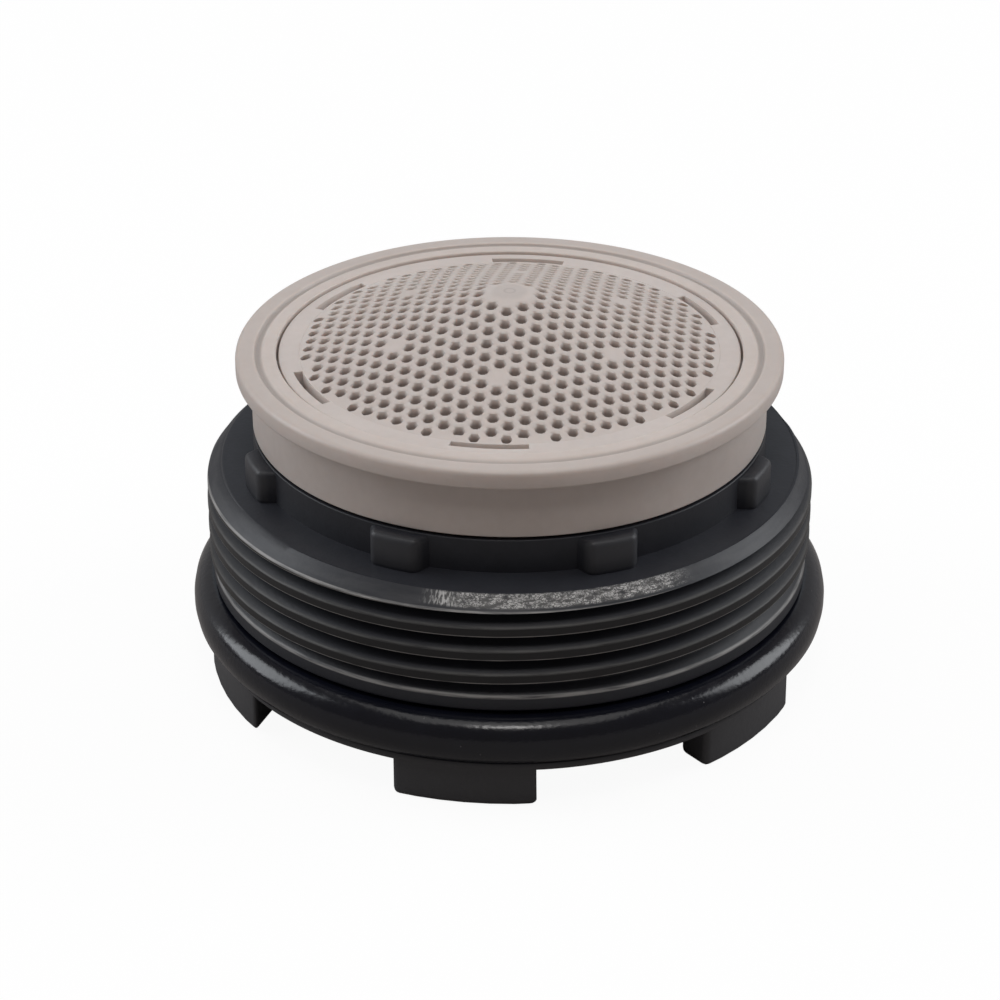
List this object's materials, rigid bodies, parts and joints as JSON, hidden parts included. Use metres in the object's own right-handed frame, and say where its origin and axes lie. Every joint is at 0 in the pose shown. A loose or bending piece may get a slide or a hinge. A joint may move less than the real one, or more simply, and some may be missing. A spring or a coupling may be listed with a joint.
{
  "type": "tap aerator",
  "caption": "Recessed tap aerator: charcoal housing with male thread, collar nubs and key lugs, black rubber ring, light grey inlet cup and conical perforated strainer.",
  "frame": {"origin": "centre of the outlet end, on the plane that the lugs stand on", "axes": "+Z along the axis from the outlet lugs up to the inlet strainer, -Y towards the viewer of the picture, +X to that viewer's right"},
  "size_m": [0.0254, 0.0254, 0.0158],
  "materials": {
    "housing": "satin charcoal moulding with pale rubbed thread edges",
    "seal": "smooth black rubber with a soft gloss and dust",
    "cup": "satin warm light grey",
    "screen": "satin light grey",
    "insert": "natural white moulding"
  },
  "bodies": {
    "root": {"threaded_housing": "housing", "sealing_ring": "seal", "inlet_cup": "cup", "filter_screen": "screen", "jet_plate": "insert", "mixing_sleeve": "insert", "upper_grid": "insert", "lower_grid": "insert", "outlet_grid": "insert"}
  },
  "joints": []
}
